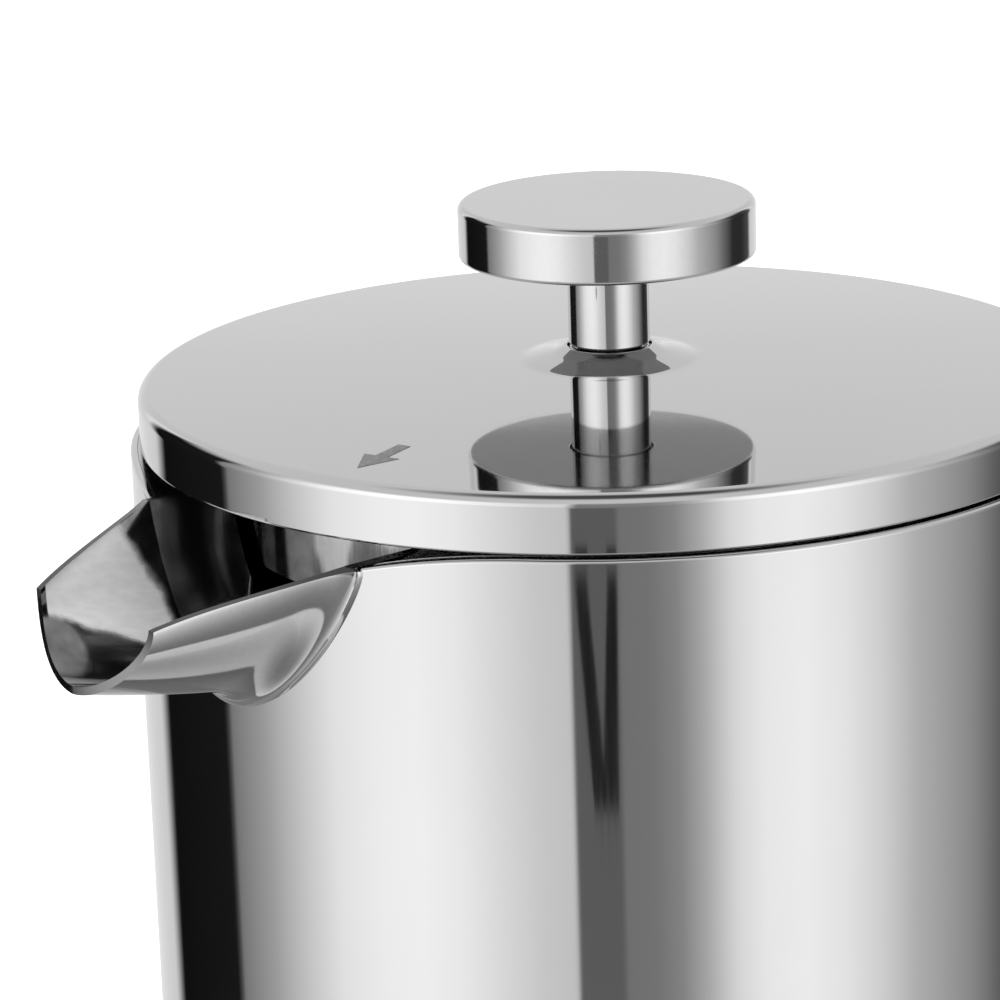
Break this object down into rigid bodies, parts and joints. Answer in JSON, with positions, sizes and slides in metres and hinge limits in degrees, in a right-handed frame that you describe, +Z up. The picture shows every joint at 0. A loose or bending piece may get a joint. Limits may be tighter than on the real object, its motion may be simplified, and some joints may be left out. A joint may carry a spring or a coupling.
{
  "type": "french press",
  "caption": "Double-walled polished steel french press with a pouring spout, loop handle, flat lid and a disc-knob plunger.",
  "frame": {"origin": "centre of the flat base, on the axis of the pot", "axes": "+Z up along the pot's axis, -X towards the pouring spout, +X towards the handle"},
  "size_m": [0.1834, 0.1102, 0.2062],
  "materials": {
    "polished_steel": "polished",
    "satin_steel": "satin",
    "brushed_steel": "brushed",
    "woven_wire": "woven mesh",
    "black_rubber": "matte"
  },
  "bodies": {
    "vessel": {"outer_shell": "polished_steel", "inner_liner": "satin_steel", "base_plate": "satin_steel", "spout": "polished_steel", "handle_outer_shell": "polished_steel", "handle_inner_shell": "polished_steel", "handle_upper_pad": "polished_steel", "handle_lower_pad": "polished_steel"},
    "guide": {"rod_guide_bush": "brushed_steel", "guide_nut": "brushed_steel"},
    "lid": {"lid_cover": "polished_steel", "lid_inner_ring": "polished_steel"},
    "bumper": {"knob_bumper": "black_rubber"},
    "plunger": {"knob_cap": "brushed_steel", "knob_stem": "brushed_steel", "plunger_rod": "polished_steel", "rod_lock_nut": "brushed_steel", "spiral_plate": "satin_steel", "coil_spring": "satin_steel", "mesh_screen": "woven_wire", "cross_plate": "satin_steel", "filter_nut": "brushed_steel"}
  },
  "joints": [
    {"name": "lid_lift", "type": "slide", "parent": "vessel", "child": "guide", "axis": [0, 0, 1], "range_m": [0, 0.2]},
    {"name": "lid_turn", "type": "hinge", "parent": "guide", "child": "lid", "pos_m": [0, 0, 0.1867], "axis": [0, 0, 1], "continuous": true},
    {"name": "plunger_slide", "type": "slide", "parent": "guide", "child": "bumper", "axis": [0, 0, 1], "range_m": [0, 0.138]},
    {"name": "plunger_turn", "type": "hinge", "parent": "bumper", "child": "plunger", "pos_m": [0, 0, 0.19], "axis": [0, 0, 1], "continuous": true}
  ]
}
